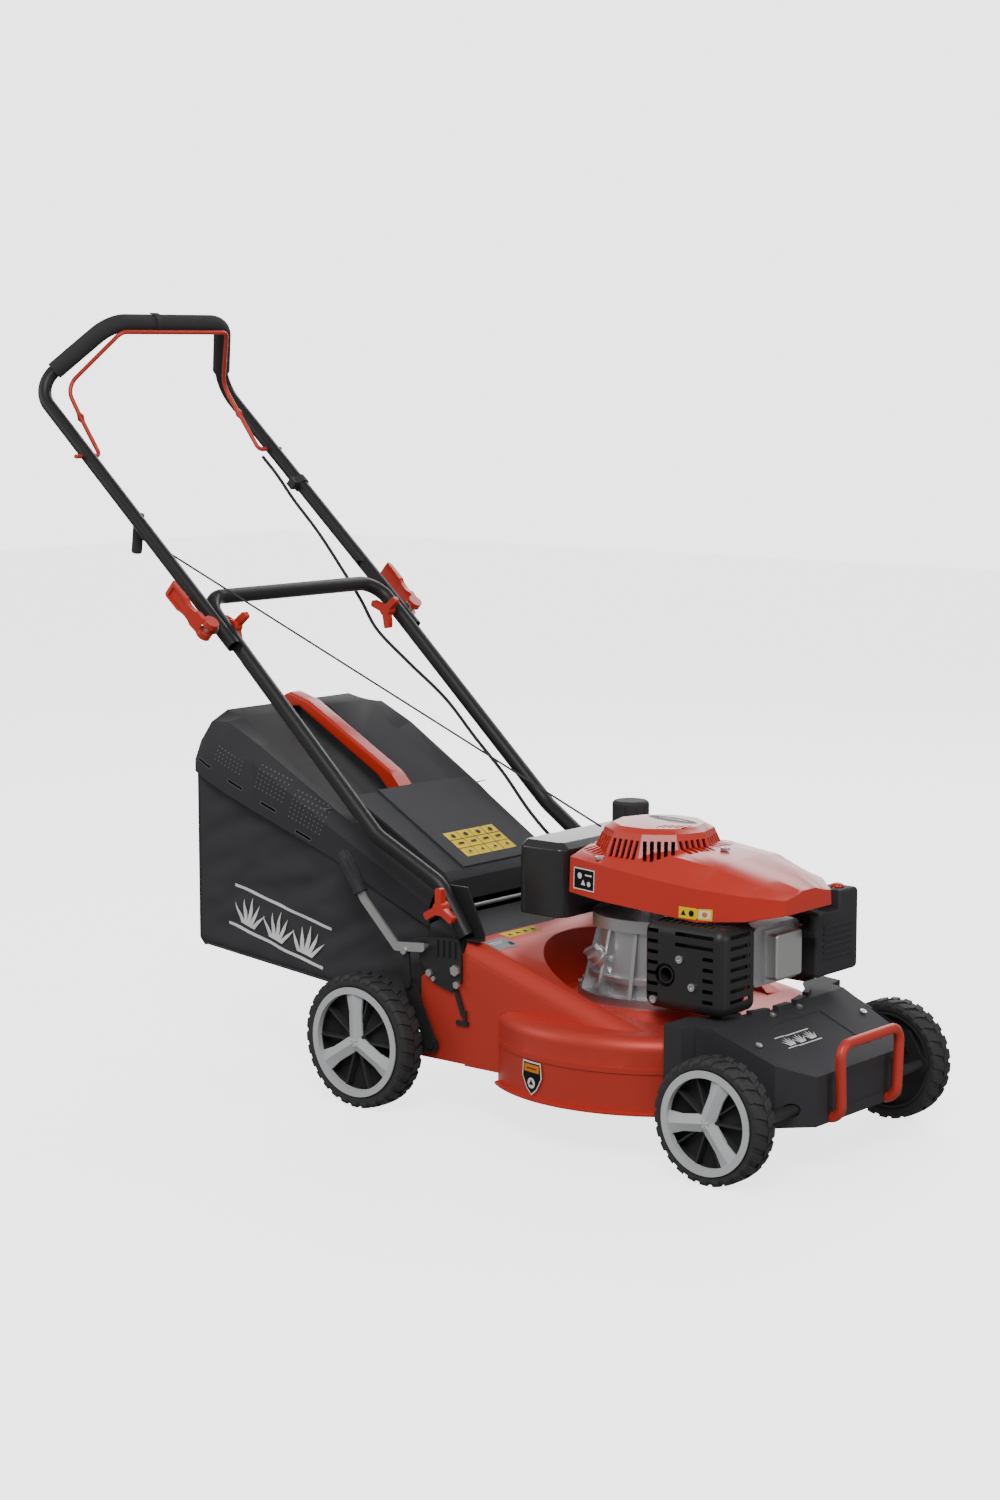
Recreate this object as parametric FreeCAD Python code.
import FreeCAD, Part
import math
import os

os.makedirs("parts", exist_ok=True)
V = FreeCAD.Vector

# ---------------------------------------------------------------- driving dimensions (mm)
# x is measured forward from the crankshaft axis, y to the operator's left, z up from the ground.
CRANK_X = 321.1            # crankshaft axis ahead of the origin, which is midway along the mower

CUT_R = 198.0              # blade tip circle, a 40 cm cut
DECK_R = 214.0             # outside of the round deck wall
DECK_LIP_Z = 60.0
DECK_TOP_Z = 168.0         # engine mounting face
DRUM_TOP_Z = 157.0         # top of the round part, outside the engine seat
SHEET = 2.5                # deck sheet as drawn
SIDE_Y = 170.0             # flat rear side panels
RAMP_BACK_X = -188.0
RAMP_BACK_Z = 238.0
CHUTE_BACK_X = -262.0
RAMP_FRONT_X = 95.0
NOSE_X = 296.0
TROUGH_R = 150.0           # trough round the engine seat

FRONT_R = 79.0             # front wheel radius
REAR_R = 90.5              # rear wheel radius
FRONT_X = 234.0            # front wheel centre
REAR_X = -336.0            # rear wheel centre
WHEEL_W = 38.0
WHEEL_Y = 202.0            # middle of each wheel
SPINDLE_R = 6.0
RUNNING = 0.06             # radial clearance of a shaft in its bore

FRONT_PIVOT = V(290, 0, 84)
REAR_PIVOT = V(-240, 0, 95)
LINK_LOW = V(-277, 0, 170)
LEVER_PIVOT = V(-250, 0, 224)

UPPER_R = 9.75             # upper handle tube
LOWER_R = 10.4             # lower handle tube
WALL = 1.3
UPPER_Y = 187.0
LOWER_Y = 177.0
LAP_Y = 182.0              # flattened faces of the two tubes meet here
LAP_GAP = 0.25
FOLD = V(-612, 0, 623)     # fold pivot of the upper handle
FOLD_BOLT_R = 3.0
BAIL_PIVOT = V(-873, 0, 850)
BAIL_R = 3.2

GRIP_R = 13.0
BUMPER_R = 6.6
BUMPER_Y = 63.0
BUMPER_Z = 67.0
HANDLE_END = V(-188, 165, 244)


# ---------------------------------------------------------------- helpers
def box(x0, y0, z0, x1, y1, z1):
    return Part.makeBox(x1 - x0, y1 - y0, z1 - z0, V(x0, y0, z0))


def rod(start, end, radius):
    return Part.makeCylinder(radius, (end - start).Length, start, end - start)


def fuse(shapes):
    shapes = list(shapes)
    whole = shapes[0].multiFuse(shapes[1:]) if len(shapes) > 1 else shapes[0]
    return whole.removeSplitter()


def polygon(points):
    return Part.makePolygon(list(points) + [points[0]])


def prism(points, depth):
    return Part.Face(polygon(points)).extrude(depth)


def other_side(shape):
    return shape.mirror(V(0, 0, 0), V(0, 1, 0))


def flip(point):
    return V(point.x, -point.y, point.z)


def fillet_where(shape, radius, test):
    edges = [e for e in shape.Edges if test(e)]
    return shape.makeFillet(radius, edges)


def is_along(edge, axis):
    if not isinstance(edge.Curve, Part.Line):
        return False
    return abs(abs(edge.Curve.Direction.dot(axis)) - 1) < 1e-4


def bent_path(points, radii):
    """Straight runs joined by tangent arcs, one radius for each inner point."""
    edges = []
    start = points[0]
    for i, radius in enumerate(radii, start=1):
        corner = points[i]
        back = (points[i - 1] - corner).normalize()
        ahead = (points[i + 1] - corner).normalize()
        half = back.getAngle(ahead) / 2
        reach = radius / math.tan(half)
        middle = (back + ahead).normalize() * (radius / math.sin(half) - radius)
        arc_start = corner + back * reach
        arc_end = corner + ahead * reach
        edges.append(Part.LineSegment(start, arc_start).toShape())
        edges.append(Part.Arc(arc_start, corner + middle, arc_end).toShape())
        start = arc_end
    edges.append(Part.LineSegment(start, points[-1]).toShape())
    return Part.Wire(edges)


def sweep(points, radii, radius):
    circle = Part.Wire(Part.makeCircle(radius, points[0], points[1] - points[0]))
    return bent_path(points, radii).makePipeShell([circle], True, False)


def tube(points, radii, radius, wall):
    return sweep(points, radii, radius).cut(sweep(points, radii, radius - wall))


def both_ends(half):
    """Half a route, from its free end to the middle, made into the whole symmetric route."""
    return list(half) + [flip(p) for p in reversed(half)]


def hex_bolt(base, axis, across, head, shank_r, length):
    """A hexagon head standing on base and a shank going the other way."""
    axis = V(axis).normalize()
    side = axis.cross(V(0.3, 0.5, 0.8)).normalize()
    corners = []
    for k in range(6):
        turn = FreeCAD.Rotation(axis, 60 * k)
        corners.append(base + turn.multVec(side) * (across / 1.732))
    shank = Part.makeCylinder(shank_r, length, base, axis * -1)
    return fuse([prism(corners, axis * head), shank])


def round_screw(base, axis, head_r, head, shank_r, length):
    axis = V(axis).normalize()
    cap = Part.makeCylinder(head_r, head, base, axis)
    socket = Part.makeCylinder(head_r * 0.45, head * 0.6, base + axis * head * 0.5, axis)
    shank = Part.makeCylinder(shank_r, length, base, axis * -1)
    return fuse([cap, shank]).cut(socket)


def save(name, shape):
    placed = shape.copy()
    placed.translate(V(CRANK_X, 0, 0))
    solids = placed.Solids
    if not solids or not placed.isValid():
        raise ValueError(f"{name} is not a valid solid")
    result = solids[0] if len(solids) == 1 else Part.makeCompound(solids)
    result.exportStep(f"parts/{name}.step")
    size = result.BoundBox
    print(f"{name:28s} {len(solids)} solid(s) "
          f"x {size.XMin:7.1f} {size.XMax:7.1f}  y {size.YMin:7.1f} {size.YMax:7.1f}  "
          f"z {size.ZMin:6.1f} {size.ZMax:6.1f}")
    return result.BoundBox


# ---------------------------------------------------------------- deck
def deck_body(inset):
    """The pressed deck without its openings, every face moved in by inset."""
    floor = DECK_LIP_Z - (20 if inset else 0)
    drum = Part.makeCylinder(DECK_R - inset, DRUM_TOP_Z - inset - floor, V(0, 0, floor))
    drum = fillet_where(drum, 18 - inset, lambda e: e.BoundBox.ZMin > DRUM_TOP_Z - 4 and e.BoundBox.XLength > 50)
    low = 72 - (32 if inset else 0)
    back = RAMP_BACK_X + inset
    outline = [
        (back, low),
        (back, RAMP_BACK_Z - inset * 1.1),
        (back + 34, RAMP_BACK_Z - 5 - inset),
        (RAMP_FRONT_X, DRUM_TOP_Z - inset),
        (RAMP_FRONT_X, low),
    ]
    outline = [V(x, -SIDE_Y + inset, z) for x, z in outline]
    ramp = prism(outline, V(0, 2 * (SIDE_Y - inset), 0))
    ramp = fillet_where(ramp, 26 - inset, lambda e: e.BoundBox.YLength < 1 and e.BoundBox.ZMin > 150
                        and e.BoundBox.XLength > 60)
    nose_low = DECK_LIP_Z + 4 - (30 if inset else 0)
    side = 150 - inset
    front = NOSE_X - inset
    nose = prism([V(60, -side, nose_low), V(60, -side, 148 - inset), V(210, -side, 148 - inset),
                  V(front, -side, 112 - inset), V(front, -side, nose_low)], V(0, 2 * side, 0))
    plan = [V(60, -side, 0), V(250, -side + 12, 0), V(front, -98 + inset, 0)]
    nose = nose.common(prism(plan + [flip(p) for p in reversed(plan)], V(0, 0, 300)))
    body = fuse([drum, ramp, nose])
    trough = Part.makeCylinder(TROUGH_R + inset, 100, V(0, 0, DRUM_TOP_Z - inset))
    seat = Part.makeCone(122 - inset, 112 - inset, DECK_TOP_Z - DRUM_TOP_Z, V(0, 0, DRUM_TOP_Z - inset))
    return fuse([body.cut(trough), seat])


def make_deck():
    shell = deck_body(0).cut(deck_body(SHEET))
    side_plates = []
    for y in (SIDE_Y - SHEET, -SIDE_Y):
        plate = box(CHUTE_BACK_X, y, 74, RAMP_BACK_X + 6, y + SHEET, 222)
        corner = prism([V(CHUTE_BACK_X - 1, y - 1, 180), V(CHUTE_BACK_X - 1, y - 1, 230), V(-205, y - 1, 230)],
                       V(0, SHEET + 2, 0))
        side_plates.append(plate.cut(corner))
    lip = Part.makeCylinder(DECK_R + 7, 3, V(0, 0, DECK_LIP_Z)).cut(
        Part.makeCylinder(DECK_R - SHEET, 9, V(0, 0, DECK_LIP_Z - 3)))
    lip = lip.cut(box(-300, -300, 0, -130, 300, 100)).cut(box(150, -300, 0, 400, 300, 100))
    bead = Part.makeCylinder(DECK_R + 1.6, 7, V(0, 0, 112)).cut(Part.makeCylinder(DECK_R - 1, 7, V(0, 0, 112)))
    bead = bead.cut(box(-300, -300, 0, -125, 300, 300)).cut(box(150, -300, 0, 400, 300, 300))
    deck = fuse([shell, lip, bead] + side_plates)
    chute = box(RAMP_BACK_X - 40, -122, 108, RAMP_BACK_X + 20, 122, 228)
    deck = deck.cut(chute)
    for y in (-BUMPER_Y, BUMPER_Y):
        deck = deck.cut(rod(V(250, y, BUMPER_Z), V(340, y, BUMPER_Z), BUMPER_R + 1.4))
    deck = deck.cut(Part.makeCylinder(30, 40, V(0, 0, DECK_TOP_Z - 20)))
    for bolt in engine_bolt_places():
        deck = deck.cut(Part.makeCylinder(4.2, 20, V(bolt.x, bolt.y, DECK_TOP_Z - 10)))
    deck = deck.cut(rod(REAR_PIVOT + V(0, -300, 0), REAR_PIVOT + V(0, 300, 0), 7 + RUNNING))
    deck = deck.cut(rod(FRONT_PIVOT + V(0, -300, 0), FRONT_PIVOT + V(0, 300, 0), 7 + RUNNING))
    return deck


def engine_bolt_places():
    return [V(92 * math.cos(math.radians(a)), 92 * math.sin(math.radians(a)), DECK_TOP_Z) for a in (35, 145, 215, 325)]


def make_chute_cover():
    """Black moulded tunnel from the deck's rear edge to the bag's mouth."""
    back, front, half = CHUTE_BACK_X - 4, RAMP_BACK_X - 0.6, 148
    top = [V(back, -half, 248), V(back + 8, -half, 253), V(front, -half, 236), V(front, -half, 104),
           V(back, -half, 104)]
    outside = prism(top, V(0, 2 * half, 0))
    outside = fillet_where(outside, 12, lambda e: e.BoundBox.YLength < 1 and e.BoundBox.ZMin > 200
                           and e.BoundBox.XLength > 40)
    inside = prism([V(back - 5, -half + 3, 243), V(front + 5, -half + 3, 229), V(front + 5, -half + 3, 107),
                    V(back - 5, -half + 3, 107)], V(0, 2 * half - 6, 0))
    lugs = []
    for y in (-128, 116):
        lug = prism([V(-268, y, 246), V(-268, y, 268), V(-252, y, 268), V(-246, y, 246)], V(0, 12, 0))
        lugs.append(lug)
    cover = fuse([outside.cut(inside)] + lugs).cut(Part.makeCylinder(DECK_R + 0.6, 140, V(0, 0, 60)))
    return cover.cut(rod(FLAP_PIN + V(0, -140, 0), FLAP_PIN + V(0, 140, 0), 3.0 + RUNNING))


# ---------------------------------------------------------------- rear flap
FLAP_PIN = V(-260, 0, 261)


def flap_profile(drop):
    return [V(-258, 0, 272 - drop), V(-262, 0, 300 - drop), V(-272, 0, 311 - drop), V(-300, 0, 327 - drop),
            V(-425, 0, 400 - drop)]


def make_flap():
    """Deflector flap: a ridged plate hinged at its front edge, resting on the bag's lid."""
    half_front, half_back = 112, 122
    upper = flap_profile(0)
    lower = [V(p.x - 1.5, 0, p.z - 3) for p in upper]
    lower[0] = V(-261, 0, 272)
    outline = upper + list(reversed(lower))
    plate = prism([V(p.x, -160, p.z) for p in outline], V(0, 320, 0))
    sides = prism([V(-250, -half_front, 200), V(-275, -half_front, 200), V(-430, -half_back, 200),
                   V(-430, half_back, 200), V(-275, half_front, 200), V(-250, half_front, 200)], V(0, 0, 300))
    plate = plate.common(sides)
    rise = [V(p.x, -72, p.z - 1) for p in upper[2:]] + [V(p.x, -72, p.z + 2.5) for p in reversed(upper[2:])]
    panel = prism(rise, V(0, 144, 0))
    rims = []
    for side in (-1, 1):
        y = side * half_front - (3 if side > 0 else 0)
        rim = prism([V(-262, y, 274), V(-272, y, 309), V(-300, y, 325), V(-425, y, 398), V(-425, y, 385),
                     V(-300, y, 309), V(-276, y, 290)], V(0, 3, 0))
        rims.append(rim)
    knuckles = [rod(FLAP_PIN + V(0, y, 0), FLAP_PIN + V(0, y + 26, 0), 6.5) for y in (-114, 88)]
    webs = [box(-262.5, y, 262, -258, y + 26, 276) for y in (-114, 88)]
    flap = fuse([plate, panel] + rims + knuckles + webs)
    flap = flap.cut(rod(FLAP_PIN + V(0, -140, 0), FLAP_PIN + V(0, 140, 0), 3.0 + RUNNING))
    return flap


def make_flap_rod():
    return rod(FLAP_PIN + V(0, -132, 0), FLAP_PIN + V(0, 132, 0), 3.0)


# ---------------------------------------------------------------- front cowl and bumper
def make_cowl():
    plan = [V(140, -178, 0), V(166, -178, 0), V(170, -152, 0), V(276, -135, 0), V(312, -98, 0)]
    plan = [V(p.x, p.y, 62) for p in plan]
    plan = plan + [flip(p) for p in reversed(plan)]
    block = prism(plan, V(0, 0, 160))
    top = prism([V(100, -200, 182), V(190, -200, 176), V(318, -200, 122), V(330, -200, 60), V(330, -200, 300),
                 V(100, -200, 300)], V(0, 400, 0))
    block = block.cut(top)
    inner_plan = [V(130, -175, 0), V(163, -175, 0), V(167, -149, 0), V(274.5, -132, 0), V(309, -96.5, 0)]
    inner_plan = [V(p.x, p.y, 50) for p in inner_plan]
    inner_plan = inner_plan + [flip(p) for p in reversed(inner_plan)]
    inside = prism(inner_plan, V(0, 0, 160))
    inner_top = prism([V(90, -200, 179), V(189, -200, 173), V(315, -200, 119.5), V(327, -200, 60),
                       V(327, -200, 300), V(90, -200, 300)], V(0, 400, 0))
    inside = inside.cut(inner_top)
    shell = block.cut(inside)
    shell = shell.cut(Part.makeCylinder(190, 200, V(0, 0, 50)))
    shell = shell.cut(deck_body(0))
    for y in (-BUMPER_Y, BUMPER_Y):
        shell = shell.cut(rod(V(250, y, BUMPER_Z), V(340, y, BUMPER_Z), BUMPER_R + 1.4))
    rim = Part.makeCylinder(199, 9, V(0, 0, 172)).cut(Part.makeCylinder(190, 40, V(0, 0, 160)))
    rim = rim.cut(box(-220, -220, 100, 170, 220, 300)).common(box(100, -100, 160, 240, 100, 185))
    notches = [box(170, -8 + 45 * k, 174.5, 210, 8 + 45 * k, 190) for k in (-1.5, -0.5, 0.5, 1.5)]
    shell = fuse([shell, rim.cut(Part.makeCompound(notches))])
    front_panel = box(310.8, -74, 76, 320, 74, 116)
    shell = shell.cut(front_panel)
    window = box(214, -56, 100, 288, 56, 200)
    lowered = window.cut(prism([V(100, -200, 180.8), V(190, -200, 174.8), V(318, -200, 120.8), V(318, -200, 300),
                                V(100, -200, 300)], V(0, 400, 0)))
    recess = window.cut(lowered)
    shell = shell.cut(recess)
    shell = shell.cut(rod(FRONT_PIVOT + V(0, -300, 0), FRONT_PIVOT + V(0, 300, 0), 8.5))
    return shell


def make_bumper():
    half = [V(262, -BUMPER_Y, BUMPER_Z), V(326, -BUMPER_Y, BUMPER_Z), V(326, -BUMPER_Y - 5, 160)]
    return tube(both_ends(half), [18, 18, 18, 18], BUMPER_R, 1.5)


def make_cowl_screws():
    places = [V(200, -30, 172.5), V(200, 30, 172.5), V(240, -118, 156), V(240, 118, 156)]
    return Part.makeCompound([round_screw(p, V(0.4, 0, 0.9), 4.5, 2.4, 2.0, 12) for p in places])


# ---------------------------------------------------------------- wheels
def ring(inner, outer, y0, y1, centre):
    base = V(centre.x, y0, centre.z)
    return Part.makeCylinder(outer, y1 - y0, base, V(0, 1, 0)).cut(
        Part.makeCylinder(inner, y1 - y0, base, V(0, 1, 0)))


def revolved(profile, centre):
    """Profile points are (radius, y); the axis is the wheel's."""
    points = [V(centre.x + r, y, centre.z) for r, y in profile]
    return Part.Face(polygon(points)).revolve(centre, V(0, 1, 0), 360)


def make_tyre(radius, rim, centre):
    h = WHEEL_W / 2
    profile = [(rim, -h + 2), (rim + 3, -h), (radius - 5, -h), (radius, -h + 5), (radius, h - 5), (radius - 5, h),
               (rim + 3, h), (rim, h - 2)]
    return revolved([(r, y + centre.y) for r, y in profile], centre)


def make_rim(rim, centre):
    """Black moulded wheel: rim barrel, dished web, hub and inner ribs, for the right side."""
    y = centre.y
    barrel = ring(rim - 3.8, rim, y - 17, y + 17, centre)
    web = ring(12, rim - 2, y - 6, y - 3, centre)
    hub = Part.makeCylinder(15, 26, V(centre.x, y - 9, centre.z), V(0, 1, 0))
    ribs = []
    for k in range(10):
        rib = box(centre.x + 13, y - 3.5, centre.z - 1.2, centre.x + rim - 2, y + 12, centre.z + 1.2)
        rib.rotate(centre, V(0, 1, 0), 36 * k)
        ribs.append(rib)
    wheel = fuse([barrel, web, hub] + ribs)
    return wheel.cut(Part.makeCylinder(SPINDLE_R + RUNNING, 60, V(centre.x, y - 30, centre.z), V(0, 1, 0)))


def make_trim(rim, centre, first_angle):
    """Silver trim on the outer face: a ring and three broad ridged arms, for the right side."""
    face = centre.y - 19.2
    trim = [ring(rim - 9, rim, face - 1.6, face, centre), ring(rim - 9, rim - 4.4, face - 0.5, face + 7, centre)]
    for k in range(3):
        arm = spoke(rim, face)
        arm.translate(V(centre.x, 0, centre.z))
        arm.rotate(centre, V(0, 1, 0), -(first_angle + 120 * k))
        trim.append(arm)
    return fuse(trim)


def spoke(rim, face):
    """One arm along +x: a roof section that widens towards the ring."""
    def section(x, half_width, height):
        return polygon([V(x, face + 6.5, -half_width), V(x, face + 3.5, -half_width), V(x, face + 6.5 - height, 0),
                        V(x, face + 3.5, half_width), V(x, face + 6.5, half_width)])
    return Part.makeLoft([section(-6, 11, 8.5), section(rim * 0.55, 10.5, 8), section(rim - 6, 15, 7)], True, True)


WHEELS = {
    "front": (FRONT_R, 64.5, FRONT_X),
    "rear": (REAR_R, 73.3, REAR_X),
}
SPOKE_ANGLE = {"front": 68, "rear": 92}


def make_wheels():
    """Each wheel is one moulding with its tread; the silver trim is a second piece on its face."""
    parts = {}
    for end, (radius, rim, x) in WHEELS.items():
        centre = V(x, -WHEEL_Y, radius)
        wheel = fuse([make_tyre(radius, rim, centre), make_rim(rim, centre)])
        trim = make_trim(rim + 0.4, centre, SPOKE_ANGLE[end])
        parts[f"wheel_{end}_right"] = wheel
        parts[f"wheel_trim_{end}_right"] = trim
        parts[f"wheel_{end}_left"] = other_side(wheel)
        parts[f"wheel_trim_{end}_left"] = other_side(trim)
    return parts


# ---------------------------------------------------------------- height adjustment
ARM_Y = 175.0              # inner face of the crank arms
ARM_T = 3.0
LINK_T = 2.5
SIDE_GAP = 0.4             # between flat pieces that swing past each other


def strap(points, width, y, thickness):
    """A flat bar with round ends through the points, from y outwards."""
    pieces = []
    for p, q in zip(points, points[1:]):
        along = (q - p).normalize()
        across = V(-along.z, 0, along.x) * (width / 2)
        corners = [p + across, q + across, q - across, p - across]
        pieces.append(prism([V(c.x, y, c.z) for c in corners], V(0, thickness, 0)))
    for p in points:
        pieces.append(Part.makeCylinder(width / 2, thickness, V(p.x, y, p.z), V(0, 1, 0)))
    return fuse(pieces)


def make_rear_axle():
    spindle = V(REAR_X, 0, REAR_R)
    pieces = [rod(REAR_PIVOT + V(0, -180, 0), REAR_PIVOT + V(0, 180, 0), 7)]
    for side in (-1, 1):
        y = -ARM_Y - ARM_T if side < 0 else ARM_Y
        arms = [strap([REAR_PIVOT, spindle], 24, y, ARM_T), strap([REAR_PIVOT, LINK_LOW], 20, y, ARM_T)]
        pieces += arms
        pieces.append(rod(V(REAR_X, side * ARM_Y, REAR_R), V(REAR_X, side * (WHEEL_Y + 9), REAR_R), SPINDLE_R))
    axle = fuse(pieces)
    return axle.cut(rod(LINK_LOW + V(0, -190, 0), LINK_LOW + V(0, 190, 0), 3 + RUNNING))


TIE_FRONT = V(-20, 0, 34)      # tie rod's front pin from the front pivot
TIE_REAR = V(-28, 0, 57)       # and its rear pin from the rear pivot


def make_front_axle():
    spindle = V(FRONT_X, 0, FRONT_R)
    horn = FRONT_PIVOT + TIE_FRONT
    pieces = [rod(FRONT_PIVOT + V(0, -180, 0), FRONT_PIVOT + V(0, 180, 0), 7)]
    for side in (-1, 1):
        y = -ARM_Y - ARM_T if side < 0 else ARM_Y
        pieces.append(strap([FRONT_PIVOT, spindle], 22, y, ARM_T))
        pieces.append(rod(V(FRONT_X, side * ARM_Y, FRONT_R), V(FRONT_X, side * (WHEEL_Y + 9), FRONT_R), SPINDLE_R))
    pieces.append(strap([FRONT_PIVOT, horn], 16, ARM_Y, ARM_T))
    return fuse(pieces)


def make_tie_rod():
    """Flat bar that joins the left crank arms; it arches over the round side of the deck."""
    y = ARM_Y + ARM_T + SIDE_GAP
    route = [REAR_PIVOT + TIE_REAR, V(-215, 0, 172), V(110, 0, 172), V(175, 0, 158), FRONT_PIVOT + TIE_FRONT]
    return strap(route, 10, y, LINK_T)


LINK_TOP = V(-30, 0, -8)       # link's upper pin from the lever pivot


def make_link():
    """Link from the lever to the right rear crank arm."""
    y = -ARM_Y - ARM_T - SIDE_GAP - LINK_T
    link = strap([LEVER_PIVOT + LINK_TOP, LINK_LOW], 11, y, LINK_T)
    pin = rod(V(LINK_LOW.x, y + 1, LINK_LOW.z), V(LINK_LOW.x, -ARM_Y, LINK_LOW.z), 3)
    head = rod(V(LINK_LOW.x, y + 0.5, LINK_LOW.z), V(LINK_LOW.x, y - 1.6, LINK_LOW.z), 5)
    return fuse([link, pin, head])


def make_lever():
    """Steel hand lever on the right side, with its moulded grip as a separate piece."""
    y = -ARM_Y - ARM_T - LINK_T - 2 * SIDE_GAP - 3.6
    elbow = V(-294, 0, 220)
    neck = V(-352, 0, 277)
    top = V(-384, 0, 326)
    bar = strap([LEVER_PIVOT, elbow, neck, top], 12, y, 3.6)
    pivot = rod(V(LEVER_PIVOT.x, y, LEVER_PIVOT.z), V(LEVER_PIVOT.x, -SIDE_Y - 0.3, LEVER_PIVOT.z), 4)
    rivet_at = LEVER_PIVOT + LINK_TOP
    rivet = rod(V(rivet_at.x, y + 1, rivet_at.z), V(rivet_at.x, y - 1.6, rivet_at.z), 5)
    return fuse([bar, pivot, rivet])


def make_lever_grip():
    start = V(-357, -183.5, 284)
    end = V(-390, -183.5, 336)
    along = (end - start).normalize()
    body = Part.makeCone(8.5, 11, 40, start, along)
    tip = Part.makeCone(11, 8, 21, start + along * 40, along)
    collar = Part.makeCylinder(10, 5, start, along)
    grip = fuse([body, tip, collar])
    flutes = []
    for k in range(8):
        groove = rod(start + along * 9, start + along * 48, 1.6)
        side = along.cross(V(0, 1, 0)).normalize() * 10.6
        turn = FreeCAD.Rotation(along, 45 * k)
        groove.translate(turn.multVec(side))
        flutes.append(groove)
    grip = grip.cut(Part.makeCompound(flutes))
    blade = strap([V(-352, 0, 277), V(-384, 0, 326)], 12.1, -184.95, 3.7)
    return grip.cut(blade)


def make_quadrant():
    """Notched black bracket on the deck's right side that carries the lever and locks it."""
    y = -SIDE_Y - 4.2
    outline = [V(-262, y, 206), V(-262, y, 236), V(-196, y, 240), V(-190, y, 222), V(-190, y, 184), V(-206, y, 168),
               V(-236, y, 176)]
    plate = prism(outline, V(0, 4, 0))
    ribs = [box(x, y - 2, 214, x + 3, y + 1, 236) for x in (-232, -222, -212, -202)]
    latch = strap([V(-199, 0, 168), V(-188, 0, 140)], 7, y + 1, 2.8)
    latch_foot = box(-200, y + 1, 126, -180, y + 3.8, 132)
    latch_stem = box(-187, y + 1, 130, -183, y + 3.8, 146)
    bracket = fuse([plate, latch, latch_foot, latch_stem] + ribs)
    return bracket.cut(rod(V(LEVER_PIVOT.x, -200, LEVER_PIVOT.z), V(LEVER_PIVOT.x, -160, LEVER_PIVOT.z), 4 + RUNNING))


def make_quadrant_bolts():
    y = -SIDE_Y - 4.2
    places = [(V(-198, y, 199), 13, 5), (V(-196, y, 180), 9, 4), (V(-243, y, 190), 9, 4), (V(-236, y, 183), 6, 3)]
    bolts = [hex_bolt(p, V(0, -1, 0), across, head, across * 0.3, 7) for p, across, head in places]
    return Part.makeCompound(bolts)


# ---------------------------------------------------------------- handle
BEND_1 = V(-330, 180, 363)
BEND_2 = V(-233, 166, 308)


def make_lower_handle():
    """One bent tube: both legs and the cross bar between them, flattened where the upper handle laps it."""
    left = [HANDLE_END, BEND_2, BEND_1, V(-652, LOWER_Y, 660)]
    points = left + [flip(p) for p in reversed(left)]
    handle = tube(points, [45, 55, 36, 36, 55, 45], LOWER_R, WALL)
    trim = box(-760, LAP_Y - LAP_GAP / 2, 560, -572, 300, 800)
    closing = sweep(points, [45, 55, 36, 36, 55, 45], LOWER_R)
    skin = closing.common(box(-760, LAP_Y - LAP_GAP / 2 - WALL, 560, -572, LAP_Y - LAP_GAP / 2, 800))
    handle = handle.cut(trim).cut(other_side(trim))
    handle = fuse([handle, skin, other_side(skin)])
    handle = handle.cut(rod(FOLD + V(0, -250, 0), FOLD + V(0, 250, 0), FOLD_BOLT_R + RUNNING))
    knob = KNOB_AT
    handle = handle.cut(rod(V(knob.x, -250, knob.z), V(knob.x, 250, knob.z), 3.2))
    return handle


KNOB_AT = V(-214, 0, 281)


def make_handle_bracket():
    """Left one of the steel brackets on the rear corners of the deck that hold the lower handle."""
    y0, y1 = 151.0, 154.0
    outline = [V(-226, y0, 306), V(-196, y0, 306), V(-168, y0, 246), V(-168, y0, 240), V(-206, y0, 240),
               V(-226, y0, 268)]
    plate = prism(outline, V(0, y1 - y0, 0))
    foot = box(-206, y0, 238.2, -168, 166, 241.2)
    stay = box(-206, 163, 205, -191, 167.3, 241)
    up = (BEND_2 - HANDLE_END).normalize()
    left = fuse([plate, foot, stay]).cut(rod(HANDLE_END - up * 0.2, HANDLE_END + up * 60, LOWER_R + 0.05))
    return left.cut(rod(V(KNOB_AT.x, 100, KNOB_AT.z), V(KNOB_AT.x, 200, KNOB_AT.z), 3.2))


def wing_knob(centre, outward, lobes_turn):
    """Three-lobed clamping knob: outward is the direction away from the tube."""
    hub = Part.makeCylinder(9, 15, centre, outward)
    lobes = [hub]
    for k in range(3):
        lobe = box(-6, -5, 5, 27, 5, 15)
        cut = prism([V(8, -6, 3), V(28, -6, 3), V(28, -6, 7.5)], V(0, 12, 0))
        lobe = fillet_where(lobe.cut(cut), 3, lambda e: is_along(e, V(0, 0, 1)) and e.BoundBox.XMin > 20)
        lobe.rotate(V(0, 0, 0), V(0, 0, 1), 120 * k + lobes_turn)
        lobe.Placement = FreeCAD.Placement(centre, FreeCAD.Rotation(V(0, 0, 1), outward)).multiply(lobe.Placement)
        lobes.append(lobe)
    return fuse(lobes)


def make_lower_knobs():
    right = V(KNOB_AT.x, -177.5, KNOB_AT.z)
    knob = wing_knob(right, V(0, -1, 0), 90)
    knob = knob.cut(rod(V(KNOB_AT.x, -150, KNOB_AT.z), V(KNOB_AT.x, -188, KNOB_AT.z), 3.0))
    bolt = rod(V(KNOB_AT.x, -149, KNOB_AT.z), V(KNOB_AT.x, -187.9, KNOB_AT.z), 2.95)
    head = rod(V(KNOB_AT.x, -146, KNOB_AT.z), V(KNOB_AT.x, -150.9, KNOB_AT.z), 8)
    return knob, fuse([bolt, head])


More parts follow.
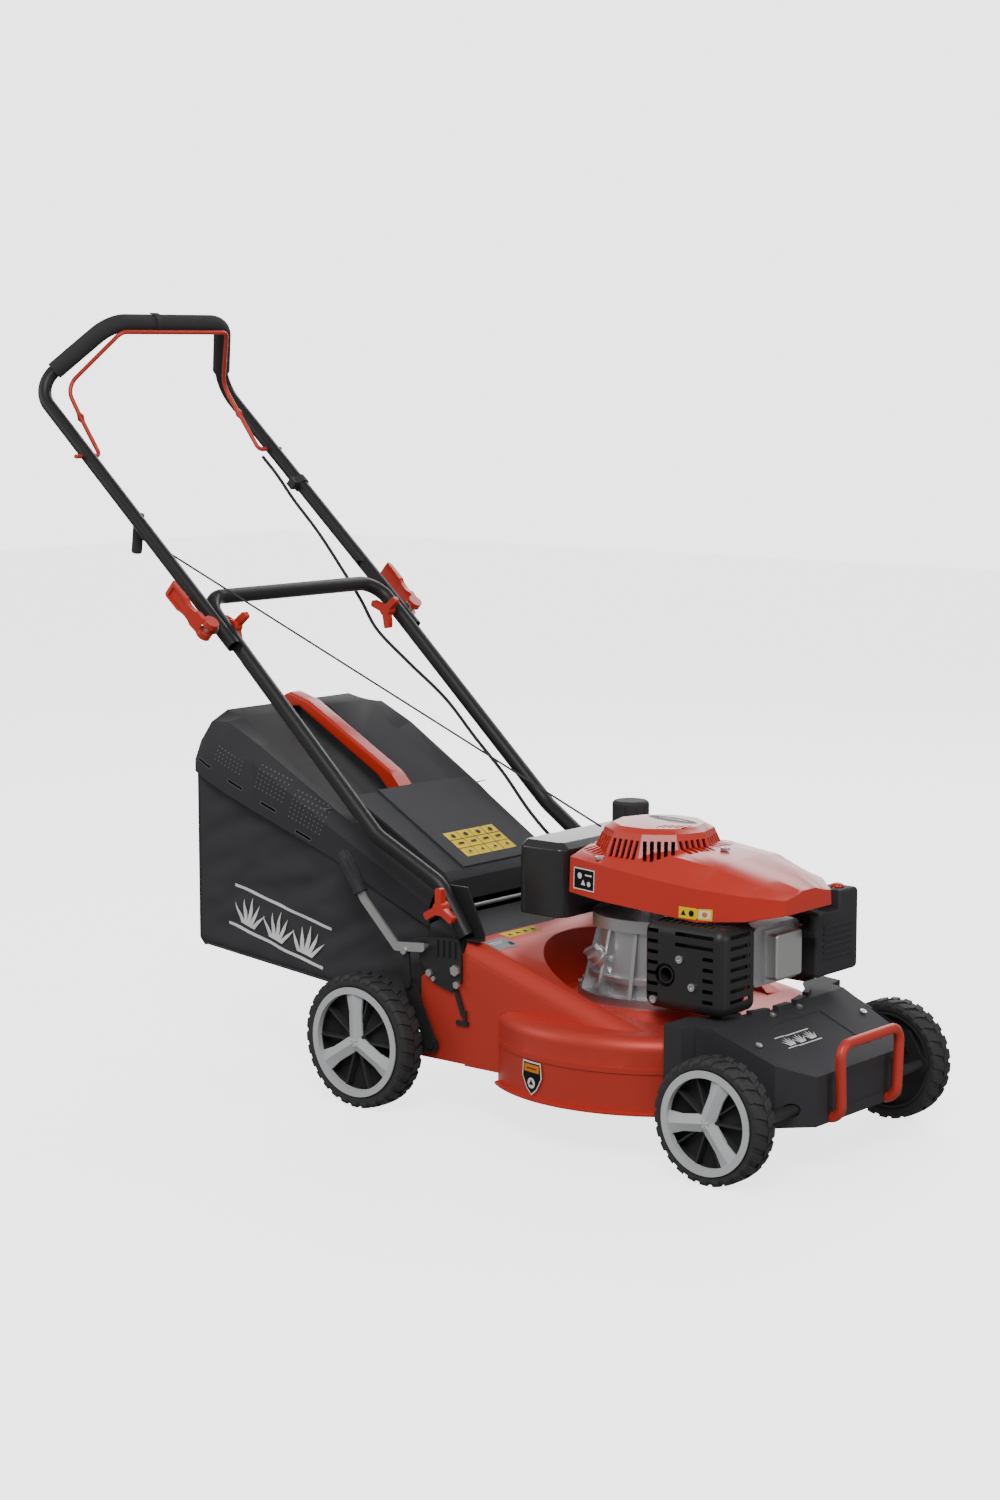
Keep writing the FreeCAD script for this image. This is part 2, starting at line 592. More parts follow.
def upper_left_points():
    along = V(-0.7501, 0, 0.6613)
    foot = V(FOLD.x, UPPER_Y, FOLD.z) - along * 37
    shoulder = V(FOLD.x, UPPER_Y, FOLD.z) + along * 488
    return [foot, shoulder, V(-898, 112.5, 1037)]


def make_upper_handle():
    left = upper_left_points()
    points = both_ends(left)
    radii = [38, 50, 50, 38]
    handle = tube(points, radii, UPPER_R, WALL)
    solid = sweep(points, radii, UPPER_R)
    inner_side = box(-690, 150, 540, -560, LAP_Y + LAP_GAP / 2, 690)
    skin = solid.common(box(-690, LAP_Y + LAP_GAP / 2, 540, -560, LAP_Y + LAP_GAP / 2 + WALL, 690))
    handle = handle.cut(inner_side).cut(other_side(inner_side))
    handle = fuse([handle, skin, other_side(skin)])
    handle = handle.cut(rod(FOLD + V(0, -250, 0), FOLD + V(0, 250, 0), FOLD_BOLT_R))
    handle = handle.cut(rod(BAIL_PIVOT + V(0, -250, 0), BAIL_PIVOT + V(0, 250, 0), BAIL_R + RUNNING))
    return handle


def make_foam_grip():
    left = upper_left_points()
    start = left[1] + (left[2] - left[1]).normalize() * 36
    ends = [start, left[2]]
    points = ends + [flip(p) for p in reversed(ends)]
    return sweep(points, [50, 50], GRIP_R).cut(sweep(points, [50, 50], UPPER_R + 0.02))


def bail_points():
    free = V(BAIL_PIVOT.x, 208, BAIL_PIVOT.z)
    knee = V(BAIL_PIVOT.x, 161, BAIL_PIVOT.z)
    eye = V(-913, 160, 903)
    leg = V(-944, 158, 946)
    corner = V(-883, 106, 1024)
    return [free, knee, eye, leg, corner]


def make_bail():
    left = bail_points()
    points = left + [flip(p) for p in reversed(left)]
    bail = sweep(points, [8, 30, 26, 16, 16, 26, 30, 8], BAIL_R)
    eyes = []
    for side in (-1, 1):
        eye = V(-913, side * 160, 903)
        along = (V(-944, 0, 946) - V(-873, 0, 850)).normalize()
        plate = prism([V(p.x, eye.y - 1.8, p.z) for p in [eye + along * 13 + V(0, 0, 0),
                                                          eye + V(along.z, 0, -along.x) * 6.2,
                                                          eye - along * 13,
                                                          eye - V(along.z, 0, -along.x) * 6.2]], V(0, 3.6, 0))
        eyes.append(plate)
    return fuse([bail] + eyes)


def make_bail_clip():
    """Soft strap clip that is fixed on the bail and snaps round the front of the grip."""
    axis_point = V(-898, 0, 1037)
    band = Part.makeCylinder(GRIP_R + 2.2, 11, axis_point + V(0, -34, 0), V(0, 1, 0)).cut(
        Part.makeCylinder(GRIP_R + 0.35, 11, axis_point + V(0, -34, 0), V(0, 1, 0)))
    behind = box(-960, -60, 950, axis_point.x - 2, 0, 1100)
    band = band.cut(behind)
    return band


def make_rope_guide():
    """Plated pigtail eye on the inner side of the right leg: a ring on a short threaded stem."""
    ring_at = ROPE_GUIDE
    eye = Part.makeTorus(6.5, 1.6, ring_at, V(0.89, 0.164, -0.426))
    stem_start = V(-754, -184, 750)
    along = (stem_start - V(ring_at.x, ring_at.y, ring_at.z)).normalize()
    stem = rod(ring_at + along * 6.6, stem_start, 1.8)
    return fuse([eye, stem])


ROPE_GUIDE = V(-760, -164, 729)    # middle of the eye
ROPE_OUTLET = V(-64, -41, 386)
ROPE_R = 1.4


def rope_direction():
    return (ROPE_OUTLET - ROPE_GUIDE).normalize()


def make_starter_rope():
    """Taut from the outlet of the blower housing, through the eye, to the knot in the pull grip."""
    return rod(GRIP_AT + rope_direction() * 8, ROPE_OUTLET, ROPE_R)


GRIP_AT = ROPE_GUIDE - rope_direction() * 33


def make_pull_grip():
    """T-shaped pull handle: an upright bar with a short neck towards the guide."""
    upright = V(0.12, 0, 1).normalize()
    low = GRIP_AT - upright * 29
    bar = Part.makeCylinder(7.6, 58, low, upright)
    bar = fillet_where(bar, 4, lambda e: e.Closed)
    neck = Part.makeCone(7, 4.2, 17, GRIP_AT, rope_direction())
    grip = fuse([bar, neck])
    bore = rod(GRIP_AT + rope_direction() * 8, GRIP_AT + rope_direction() * 20, ROPE_R + 0.02)
    return grip.cut(bore)


# ---------------------------------------------------------------- quick-release levers
TUBE_DIR = V(-0.7501, 0, 0.6613)
TUBE_UP = V(0.6613, 0, 0.7501)
CAM_Y = 210.0


def make_fold_bolt():
    """Left fold bolt with its cross eye for the cam, a washer saddle and the threaded end."""
    shank = rod(V(FOLD.x, 152, FOLD.z), V(FOLD.x, CAM_Y - 4.2, FOLD.z), FOLD_BOLT_R - 0.05)
    eye = Part.makeCylinder(5, 9, V(FOLD.x, CAM_Y, FOLD.z) - TUBE_UP * 4.5, TUBE_UP)
    eye = eye.cut(Part.makeCylinder(3 + RUNNING, 20, V(FOLD.x, CAM_Y, FOLD.z) - TUBE_UP * 10, TUBE_UP))
    washer = rod(V(FOLD.x, 197.0, FOLD.z), V(FOLD.x, 199.2, FOLD.z), 9).cut(
        rod(V(FOLD.x, 190, FOLD.z), V(FOLD.x, 200, FOLD.z), 2.9))
    return fuse([shank, eye, washer])


def make_cam_lever():
    """Red cam lever: two cheeks either side of the eye and a broad hollow-backed arm."""
    at = V(FOLD.x, CAM_Y, FOLD.z)
    out = V(0, 1, 0)
    cheeks = []
    for start, length in ((-14, 9.2), (4.8, 9.2)):
        cheeks.append(Part.makeCylinder(10.6, length, at + TUBE_UP * start, TUBE_UP))
    pin = Part.makeCylinder(2.95, 26, at - TUBE_UP * 13, TUBE_UP)

    def at_place(along, outward, across):
        return at + TUBE_DIR * along + out * outward + TUBE_UP * across
    stem = prism([at_place(4, 3, 0), at_place(4, 10.4, 0), at_place(34, 14, 0), at_place(76, 15, 0),
                  at_place(82, 12, 0), at_place(82, 8, 0), at_place(40, 6, 0)], TUBE_UP * 12)
    lower_half = stem.mirror(at, TUBE_UP)
    arm = fuse([stem, lower_half])
    waist = []
    for side in (-1, 1):
        bite = Part.makeCylinder(30, 60, at_place(34, -20, side * 38.5), out)
        waist.append(bite)
    arm = arm.cut(Part.makeCompound(waist))
    eye_room = Part.makeCylinder(11, 9.4, at - TUBE_UP * 4.7, TUBE_UP)
    dish = prism([at_place(44, 11.5, -7), at_place(74, 12.5, -8), at_place(74, 12.5, 8), at_place(44, 11.5, 7)],
                 out * 10)
    lever = fuse([arm] + cheeks).cut(eye_room).cut(dish)
    return fuse([lever, pin])


def make_upper_knob():
    """Left inner wing nut on the fold bolt."""
    centre = V(FOLD.x, LOWER_Y - LOWER_R - 1.0, FOLD.z)
    knob = wing_knob(centre, V(0, -1, 0), 40)
    return knob.cut(rod(V(FOLD.x, 200, FOLD.z), V(FOLD.x, 151.6, FOLD.z), FOLD_BOLT_R + 0.03))


# ---------------------------------------------------------------- brake cable
def cable_points():
    return [V(-872, 168, 839), V(-845, 171, 812), V(-812, 172, 776), V(-760, 170, 729), V(-712, 170, 676),
            V(-670, 164, 634), V(-634, 160, 592), V(-575, 162, 548), V(-508, 166, 500), V(-452, 166, 448),
            V(-396, 164, 400), V(-342, 156, 352), V(-284, 144, 316), V(-224, 134, 290), V(-178, 128, 262)]


def make_cable():
    points = cable_points()
    radii = []
    for before, here, after in zip(points, points[1:], points[2:]):
        turn = (here - before).getAngle(after - here)
        shorter = min((here - before).Length, (after - here).Length)
        radii.append(0.45 * shorter / math.tan(turn / 2))
    return sweep(points, radii, 2.6)


def make_cable_clamp():
    at = V(FOLD.x, UPPER_Y, FOLD.z) + TUBE_DIR * 262
    band = Part.makeCylinder(UPPER_R + 2.4, 13, at, TUBE_DIR).cut(Part.makeCylinder(UPPER_R + 0.02, 13, at, TUBE_DIR))
    ear = box(-7, -9, 0, 7, 0, 13)
    ear.Placement = FreeCAD.Placement(at + V(0, -10.6, 0), FreeCAD.Rotation(V(0, 0, 1), TUBE_DIR))
    ear = ear.cut(Part.makeCylinder(UPPER_R + 0.02, 13, at, TUBE_DIR))
    return fuse([band, ear]).cut(cable_room())


def cable_room():
    points = cable_points()
    pieces = [rod(a, b, 2.75) for a, b in zip(points[1:5], points[2:6])]
    return fuse(pieces)


# ---------------------------------------------------------------- grass bag
# stations along the lid: x, half width, skirt edge, shoulder, rim, middle
LID = [
    (-276, 138, 240, 268, 287, 283),
    (-350, 151, 278, 314, 336, 326),
    (-428, 163, 320, 360, 382, 370),
    (-568, 171, 371, 438, 462, 452),
    (-625, 171, 391, 446, 488, 492),
    (-660, 169, 404, 440, 486, 500),
    (-688, 163, 414, 430, 456, 468),
]
LID_SKIN = 3.0
CLOTH = 1.6


def lid_section(station, inset, shift):
    x, half, edge, shoulder, rim, middle = station
    side = half - inset
    bottom = edge - (12 if inset else 0)
    points = [V(x + shift, -side, bottom), V(x + shift, -side, shoulder - inset),
              V(x + shift, -side + 12, rim - inset), V(x + shift, -side + 44, middle - inset)]
    return polygon(points + [flip(p) for p in reversed(points)])


def make_bag_lid():
    """Hard moulded top: crowned plate with raised rims and a skirt down each side."""
    outer = Part.makeLoft([lid_section(st, 0, 0) for st in LID], True, True)
    inner = Part.makeLoft([lid_section(st, LID_SKIN, 0 if i else 4) for i, st in enumerate(LID[:-1])]
                          + [lid_section(LID[-1], LID_SKIN, LID_SKIN)], True, True)
    well = prism([V(-646, -46, 477), V(-646, -46, 530), V(-440, -46, 430), V(-440, -46, 374), V(-462, -46, 366)],
                 V(0, 92, 0))
    pan = prism([V(-650, -50, 474), V(-650, -50, 540), V(-436, -50, 440), V(-436, -50, 371), V(-462, -50, 362)],
                V(0, 100, 0)).common(outer)
    return fuse([outer.cut(inner), pan]).cut(well)


def make_bag_handle():
    """Red carry handle: an arched bar over the lid with a foot at each end."""
    outline = [(-664, 500.1), (-662, 508), (-648, 515), (-612, 505), (-458, 420), (-432, 392), (-424, 367.9),
               (-436, 374.7), (-452, 386), (-470, 404), (-606, 482), (-634, 497), (-646.2, 496), (-652, 497.8)]
    return fillet_where(prism([V(x, -13, z) for x, z in outline], V(0, 26, 0)), 4,
                        lambda e: e.BoundBox.YLength < 0.5 and e.BoundBox.ZMin > 410 and e.Length > 30)


def bag_section(x, half, low, high):
    return polygon([V(x, -half, low), V(x, half, low), V(x, half, high), V(x, -half, high)])


def make_bag_cloth():
    """Fabric sides, back and floor as one thin shell, open at the front and under the lid."""
    def body(inset, ahead, rise):
        return Part.makeLoft([
            bag_section(-276 + ahead, 134.4 - inset, 110 + inset, 251 + rise),
            bag_section(-428, 159.4 - inset, 142 + inset, 331 + rise),
            bag_section(-684 + inset, 159.4 - inset, 166 + inset, 422 + rise)], True, True)
    return body(0, 0, 0).cut(body(CLOTH, 4, 3))


# ---------------------------------------------------------------- engine
OIL_FILLER_LOW = V(-10, -48, 190)
OIL_FILLER_TOP = V(-33, -78, 222)


def make_crankcase():
    flange = Part.makeCylinder(103, 11, V(0, 0, DECK_TOP_Z))
    body = Part.makeCone(84, 76, 92, V(0, 0, DECK_TOP_Z + 10))
    joint = Part.makeCylinder(92, 7, V(0, 0, 196))
    top = Part.makeCylinder(86, 16, V(0, 0, 262))
    ribs = []
    for a in range(15, 375, 30):
        rib = prism([V(70, -2.5, 178), V(101, -2.5, 178), V(80, -2.5, 262), V(60, -2.5, 262)], V(0, 5, 0))
        rib.rotate(V(0, 0, 0), V(0, 0, 1), a)
        ribs.append(rib)
    filler = rod(OIL_FILLER_LOW, OIL_FILLER_TOP, 15)
    lugs = [Part.makeCylinder(13, 15, V(p.x, p.y, DECK_TOP_Z)) for p in engine_bolt_places()]
    neck = box(40, -50, 196, 66, 50, 280)
    case = fuse([flange, body, joint, top, filler, neck] + ribs + lugs)
    case = case.cut(rod(OIL_FILLER_LOW, OIL_FILLER_TOP, 9.5).cut(Part.makeCylinder(60, 60, V(0, 0, 168))))
    case = case.cut(Part.makeCone(74, 68, 70, V(0, 0, 186)))
    case = case.cut(Part.makeCylinder(11.1 + RUNNING, 300, V(0, 0, 100)))
    plug_axis = (OIL_FILLER_TOP - OIL_FILLER_LOW).normalize()
    case = case.cut(rod(OIL_FILLER_TOP, OIL_FILLER_TOP + plug_axis * 30, 15.6))
    case = fuse([case, make_cylinder()]).cut(Part.makeCylinder(28, 60, V(46, 0, 244), V(1, 0, 0)))
    for p in engine_bolt_places():
        case = case.cut(Part.makeCylinder(4.2, 40, p - V(0, 0, 10)))
    return case


def make_engine_bolts():
    bolts = [hex_bolt(V(p.x, p.y, DECK_TOP_Z + 15), V(0, 0, 1), 13, 6, 4, 24) for p in engine_bolt_places()]
    return Part.makeCompound(bolts)


def make_cylinder():
    barrel = Part.makeCylinder(37, 92, V(66, 0, 244), V(1, 0, 0))
    fins = [box(66 + 9 * k, -50, 206, 69.5 + 9 * k, 50, 284) for k in range(10)]
    block = fuse([barrel] + fins)
    return block.cut(Part.makeCylinder(29, 100, V(64, 0, 244), V(1, 0, 0)))


def make_head():
    head = box(158, -50, 208, 184, 50, 284)
    head = fillet_where(head, 8, lambda e: is_along(e, V(1, 0, 0)))
    fins = [box(161 + 8 * k, -56, 214, 164 + 8 * k, 56, 278) for k in range(3)]
    head = fuse([head] + fins)
    return head.cut(rod(V(170, 43, 268), V(190, 43, 268), 6.9))


def make_valve_cover():
    plate = box(184, -32, 212, 189, 33, 279)
    cap = box(188, -28, 216, 204, 30, 275)
    cap = fillet_where(cap, 5, lambda e: is_along(e, V(1, 0, 0)))
    cap = fillet_where(cap, 2.5, lambda e: e.BoundBox.XMin > 203.5)
    return fuse([plate, cap]).cut(box(183, -25, 219, 200, 27, 272))


def make_spark_plug():
    hexagon = hex_bolt(V(184.2, 43, 268), V(1, 0, 0), 16, 8, 6.8, 14)
    porcelain = Part.makeCone(5, 3.5, 18, V(192, 43, 268), V(1, 0, 0))
    return fuse([hexagon, porcelain])


def make_plug_boot():
    boot = Part.makeCone(8.5, 7, 22, V(196, 43, 268), V(1, 0, 0))
    elbow = rod(V(212, 43, 262), V(212, 43, 290), 6.5)
    boot = fuse([boot, elbow])
    return boot.cut(Part.makeCone(5.2, 3.6, 19, V(192, 43, 268), V(1, 0, 0)))


def make_muffler():
    can = box(86, -116, 190, 178, -60, 284)
    can = fillet_where(can, 10, lambda e: is_along(e, V(0, 1, 0)))
    pipe = rod(V(168, -62, 246), V(168, -56.2, 246), 12)
    outlet = rod(V(103, -115, 227), V(103, -124, 227), 11)
    return fuse([can, pipe, outlet]).cut(rod(V(103, -100, 227), V(103, -130, 227), 9))


def make_muffler_guard():
    x0, x1, y0, y1, z0, z1 = 67, 190, -126, -58, 181, 293
    block = fillet_where(box(x0, y0, z0, x1, y1, z1), 15, lambda e: e.BoundBox.YMin < y0 + 1
                         or (is_along(e, V(0, 1, 0))))
    inner = fillet_where(box(x0 + 2.5, y0 + 2.5, z0 + 2.5, x1 - 2.5, y1 + 5, z1 - 2.5), 12.6,
                         lambda e: e.BoundBox.YMin < y0 + 3 or is_along(e, V(0, 1, 0)))
    guard = block.cut(inner)
    slots = []
    for k in range(7):
        z = 198 + 13.5 * k
        slots.append(box(74, y0 - 2, z, 92, y0 + 8, z + 5))
        if k in (5, 6):
            slots.append(box(118, y0 - 2, z, 160, y0 + 8, z + 5))
        slots.append(box(160, y0 - 2, z, 176, y0 + 8, z + 5))
        slots.append(box(x1 - 8, -108, z, x1 + 2, -66, z + 5))
    for k in range(9):
        slots.append(box(84 + 10 * k, -116, z1 - 8, 88 + 10 * k, -100, z1 + 2))
        slots.append(box(84 + 10 * k, -92, z1 - 8, 88 + 10 * k, -68, z1 + 2))
    guard = guard.cut(Part.makeCompound(slots)).cut(Part.makeCone(110, 82, 92, V(0, 0, 172)))
    guard = guard.cut(rod(V(103, -140, 227), V(103, -112, 227), 15))
    return guard.cut(Part.makeCompound([rod(V(p.x, -140, p.z), V(p.x, -112, p.z), 2.6) for p in GUARD_SCREWS]))


GUARD_SCREWS = [V(126, -126, 250), V(145, -126, 217), V(86, -126, 194)]


def make_guard_screws():
    return Part.makeCompound([round_screw(p + V(0, -0.05, 0), V(0, -1, 0), 5, 3, 2.5, 12) for p in GUARD_SCREWS])


def make_carburettor():
    body = box(112, 62, 228, 150, 92, 262)
    bowl = rod(V(131, 77, 210), V(131, 77, 229), 14)
    throat = rod(V(140, 50.2, 246), V(140, 63, 246), 15)
    return fuse([body, bowl, throat]).cut(rod(V(140, 40, 246), V(140, 100, 246), 9))


def filter_block(x0, x1, inset):
    """Stepped block: low where it passes under the blower housing, full height outside it."""
    low = box(x0, 60 + inset, 204 + inset, x1, 158 - inset, 287 - inset)
    tall = box(x0, 114 + inset, 204 + inset, x1, 158 - inset, 311 - inset)
    block = fuse([low, tall])
    return fillet_where(block, 7 - inset, lambda e: is_along(e, V(1, 0, 0)) and (e.BoundBox.YMin > 150
                        or e.BoundBox.ZMax < 215))


def make_air_filter():
    """Black filter housing on the left front: a base and a cover over the element's space."""
    base = filter_block(150, 168, 3).cut(filter_block(152.5, 170, 5))
    base = base.cut(rod(V(140, 40, 246), V(140, 100, 246), 9)).cut(box(145, 60, 226, 151.5, 95, 264))
    cover = filter_block(168.2, 205, 0)
    cover = fillet_where(cover, 4, lambda e: e.BoundBox.XMin > 204.5)
    cover = cover.cut(filter_block(165, 202, 3)).cut(Part.makeCylinder(9.3, 20, V(186, 136, 300)))
    bars = [box(204, 76, 226 + 8 * k, 206.5, 142, 229.5 + 8 * k) for k in range(6)]
    return Part.makeCompound([base, fuse([cover] + bars)])


def make_primer():
    place = V(186, 136, 311.2)
    cap = Part.makeSphere(9, place + V(0, 0, 5)).common(Part.makeCylinder(9, 6, place + V(0, 0, 4.5)))
    return fuse([Part.makeCylinder(9, 5, place), cap])


def make_tank():
    tank = box(-165, -92, 268, -88, 130, 366)
    tank = fillet_where(tank, 16, lambda e: is_along(e, V(0, 0, 1)))
    top_edges = [e for e in tank.Edges if e.BoundBox.ZMin > 365]
    tank = tank.makeChamfer(9, top_edges)
    cavity = box(-155, -82, 272, -98, 120, 354)
    neck = Part.makeCylinder(19, 20, V(-122, 100, 360))
    tank = fuse([tank.cut(cavity), neck])
    return tank.cut(Part.makeCylinder(16, 40, V(-122, 100, 355)))


def make_fuel_cap():
    cap = Part.makeCylinder(25, 30, V(-122, 100, 368))
    cap = fillet_where(cap, 5, lambda e: e.BoundBox.ZMin > 397).cut(Part.makeCylinder(19.2, 13, V(-122, 100, 367.5)))
    flutes = []
    for k in range(10):
        a = math.radians(36 * k)
        flutes.append(Part.makeCylinder(3.4, 24, V(-122 + 27.2 * math.cos(a), 100 + 27.2 * math.sin(a), 366)))
    return cap.cut(Part.makeCompound(flutes))


# stations along the housing: x, half width, lower edge, shoulder, top
SHROUD = [
    (-76, 92, 306, 352, 366),
    (-20, 104, 303, 349, 370),
    (64, 111, 300, 342, 372),
    (140, 110, 296, 337, 363),
    (196, 88, 300, 331, 346),
    (232, 52, 306, 325, 333),
]


def shroud_section(station, inset):
    x, half, low, shoulder, top = station
    half = half - inset
    bottom = low - (8 if inset else 0)
    points = [V(x, -half, bottom), V(x, -half + 2, shoulder - inset), V(x, -half * 0.62, top - 5 - inset),
              V(x, -half * 0.28, top - inset)]
    return polygon(points + [flip(p) for p in reversed(points)])


def shroud_solid(inset):
    stations = [list(st) for st in SHROUD]
    stations[0][0] += inset
    stations[-1][0] -= inset
    return Part.makeLoft([shroud_section(st, inset) for st in stations], True, True)


def facets(radius, z):
    """Ten-sided outline round the crankshaft axis, a flat side facing right."""
    corners = []
    for k in range(DOME_SIDES):
        a = math.radians(360 / DOME_SIDES * (k + 0.5) - 90)
        corners.append(V(radius * math.cos(a), radius * math.sin(a), z))
    return polygon(corners)


def dome_solid(inset):
    return Part.makeLoft([facets(86 - inset, 340), facets(85 - inset, 358), facets(71 - inset, 388 - inset),
                          facets(60 - inset, 394 - inset)], True, True)


DOME_SIDES = 10


def make_shroud():
    """Red blower housing with the facetted recoil housing moulded on top."""
    wall = 2.8
    shell = fuse([shroud_solid(0), dome_solid(0)]).cut(shroud_solid(wall)).cut(dome_solid(wall))
    slots = []
    for side in range(DOME_SIDES):
        if side in (4, 5, 6):
            continue
        for k in range(5):
            slot = box(60, -20.5 + 9 * k, 357, 96, -15.5 + 9 * k, 380)
            slot.rotate(V(0, 0, 0), V(0, 0, 1), 360 / DOME_SIDES * side - 54)
            slots.append(slot)
    for k in range(5):
        slots.append(box(22 + 7 * k, -40 + 4 * k, 385, 26 + 7 * k, -16 + 4 * k, 400))
    shell = shell.cut(Part.makeCompound(slots))
    shell = shell.cut(rod(ROPE_OUTLET - rope_direction() * 30, ROPE_OUTLET + rope_direction() * 30, 4.5))
    for p in SHROUD_SCREWS:
        shell = shell.cut(rod(p - V(0, 0, 20), p + V(0, 0, 20), 2.6))
    return shell


SHROUD_SCREWS = [V(104, 0, 368), V(-30, 88, 357), V(-30, -88, 357)]


def make_shroud_screws():
    places = [V(104, 0, 368.4), V(-30, 88, 353.5), V(-30, -88, 353.5)]
    return Part.makeCompound([round_screw(p, V(0, 0, 1), 6, 3.5, 2.5, 14) for p in places])


def make_recoil_reel():
    reel = fuse([Part.makeCylinder(46, 3, V(0, 0, 360)), Part.makeCylinder(34, 12, V(0, 0, 361)),
                 Part.makeCylinder(46, 3, V(0, 0, 372))])
    return reel.cut(Part.makeCylinder(8 + RUNNING, 40, V(0, 0, 350)))


def make_flywheel():
    disc = Part.makeCylinder(70, 12, V(0, 0, 300))
    rim = Part.makeCylinder(70, 18, V(0, 0, 300)).cut(Part.makeCylinder(62, 20, V(0, 0, 306)))
    fins = []
    for k in range(16):
        fin = box(50, -1.5, 310, 70, 1.5, 334)
        fin.rotate(V(0, 0, 0), V(0, 0, 1), 22.5 * k)
        fins.append(fin)
    return fuse([disc, rim] + fins).cut(Part.makeCylinder(10.9, 60, V(0, 0, 290)))


def make_crankshaft():
    lower = Part.makeCylinder(11.0, 120, V(0, 0, 84))
    throw = fuse([Part.makeCylinder(30, 12, V(0, 0, 212)), Part.makeCylinder(30, 12, V(0, 0, 240))])
    middle = Part.makeCylinder(11.0, 60, V(0, 0, 204))
    upper = Part.makeCylinder(10.9, 82, V(0, 0, 263))
    adapter = fuse([Part.makeCylinder(28, 6, V(0, 0, 81.5)), Part.makeCylinder(18, 36, V(0, 0, 81.5))])
    shaft = fuse([lower, middle, throw, upper, adapter])
    return shaft.cut(Part.makeCylinder(5.2, 30, V(0, 0, 70)))


def make_blade():
    bar = box(-CUT_R, -24, 78, CUT_R, 24, 81.5)
    bar = bar.common(Part.makeCylinder(CUT_R, 10, V(0, 0, 76)))
    wings = []
    for turn in (0, 180):
        wing = prism([V(118, 21, 80), V(192, 21, 80), V(186, 21, 98), V(142, 21, 98)], V(0, 3, 0))
        wing.rotate(V(0, 0, 0), V(0, 0, 1), turn)
        wings.append(wing)
        edge = prism([V(110, -25, 77), V(110, -18, 77), V(110, -25, 82)], V(90, 0, 0))
        edge.rotate(V(0, 0, 0), V(0, 0, 1), turn)
        bar = bar.cut(edge)
    return fuse([bar] + wings).cut(Part.makeCylinder(5.2, 20, V(0, 0, 70)))


def make_blade_bolt():
    washer = Part.makeCylinder(17, 3, V(0, 0, 75))
    bolt = hex_bolt(V(0, 0, 75.2), V(0, 0, -1), 16, 8, 5.15, 6.3)
    return fuse([washer, bolt])


def make_oil_plug():
    base = OIL_FILLER_TOP
    axis = (OIL_FILLER_TOP - OIL_FILLER_LOW).normalize()
    collar = Part.makeCylinder(15, 5, base + axis * 0.3, axis)
    body = Part.makeCylinder(12.5, 14, base + axis * 0.3, axis)
    wing = box(-12, -3.5, 12, 12, 3.5, 22)
    wing.Placement = FreeCAD.Placement(base, FreeCAD.Rotation(V(0, 0, 1), axis))
    stem = Part.makeCylinder(9.3, 16, base + axis * 1, axis * -1)
    return fuse([collar, body, wing, stem])


# ---------------------------------------------------------------- assembly
def make_fasteners(knob_bolt):
    """Steel bolts, screws and the flap's rod, all fixed to the deck, engine and handle brackets."""
    groups = [make_engine_bolts(), make_guard_screws(), make_shroud_screws(), make_cowl_screws(),
              make_quadrant_bolts(), knob_bolt, other_side(knob_bolt), make_flap_rod()]
    return Part.makeCompound([solid for group in groups for solid in group.Solids])


def pair(left):
    return Part.makeCompound([left, other_side(left)])


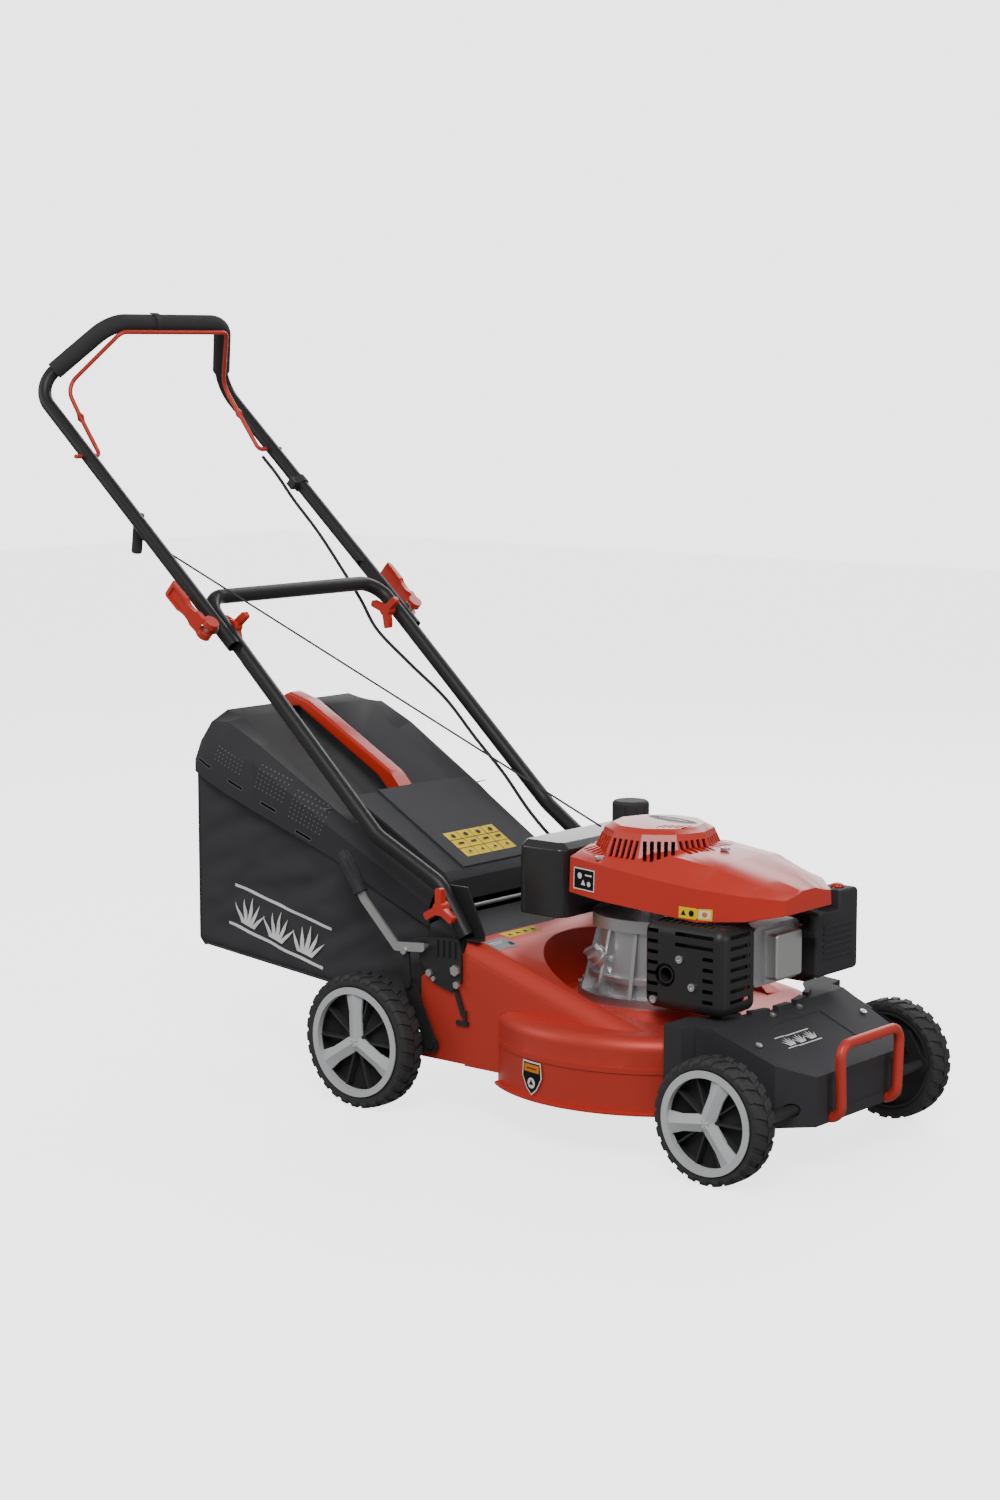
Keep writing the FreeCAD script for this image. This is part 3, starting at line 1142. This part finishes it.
def make_parts():
    parts = {
        "deck": make_deck(),
        "chute_cover": make_chute_cover(),
        "rear_flap": make_flap(),
        "front_cowl": make_cowl(),
        "front_bumper": make_bumper(),
        "rear_axle": make_rear_axle(),
        "front_axle": make_front_axle(),
        "tie_rod": make_tie_rod(),
        "height_link": make_link(),
        "height_lever": make_lever(),
        "height_lever_grip": make_lever_grip(),
        "lever_bracket": make_quadrant(),
        "lower_handle": make_lower_handle(),
        "handle_brackets": pair(make_handle_bracket()),
        "upper_handle": make_upper_handle(),
        "foam_grip": make_foam_grip(),
        "bail": make_bail(),
        "handle_clips": Part.makeCompound([make_cable_clamp(), make_bail_clip()]),
        "fold_bolts": pair(make_fold_bolt()),
        "rope_guide": make_rope_guide(),
        "starter_rope": make_starter_rope(),
        "pull_grip": make_pull_grip(),
        "brake_cable": make_cable(),
        "bag_lid": make_bag_lid(),
        "bag_handle": make_bag_handle(),
        "bag_cloth": make_bag_cloth(),
        "engine_block": make_crankcase(),
        "cylinder_head": make_head(),
        "valve_cover": make_valve_cover(),
        "spark_plug": make_spark_plug(),
        "plug_boot": make_plug_boot(),
        "muffler": make_muffler(),
        "muffler_guard": make_muffler_guard(),
        "carburettor": make_carburettor(),
        "air_filter": make_air_filter(),
        "primer_bulb": make_primer(),
        "fuel_tank": make_tank(),
        "fuel_cap": make_fuel_cap(),
        "engine_shroud": make_shroud(),
        "recoil_reel": make_recoil_reel(),
        "flywheel": make_flywheel(),
        "crankshaft": make_crankshaft(),
        "blade": make_blade(),
        "blade_bolt": make_blade_bolt(),
        "oil_plug": make_oil_plug(),
    }
    parts.update(make_wheels())
    lower_knob, knob_bolt = make_lower_knobs()
    for name, left in (("cam_lever", make_cam_lever()), ("upper_knob", make_upper_knob()),
                       ("lower_knob", other_side(lower_knob))):
        parts[f"{name}_left"] = left
        parts[f"{name}_right"] = other_side(left)
    parts["fasteners"] = make_fasteners(knob_bolt)
    parts["bag_handle"] = parts["bag_handle"].cut(parts["bag_lid"])
    for name in ("deck", "lever_bracket", "front_cowl", "muffler", "muffler_guard", "engine_shroud", "engine_block"):
        parts[name] = parts[name].cut(parts["fasteners"])
    parts["upper_handle"] = parts["upper_handle"].cut(parts["rope_guide"])
    return parts


def main():
    parts = make_parts()
    whole = FreeCAD.BoundBox()
    for name, shape in parts.items():
        whole.add(save(name, shape))
    print(len(parts), "nodes; whole x", round(whole.XMin, 1), round(whole.XMax, 1),
          "y", round(whole.YMin, 1), round(whole.YMax, 1), "z", round(whole.ZMin, 1), round(whole.ZMax, 1))


main()
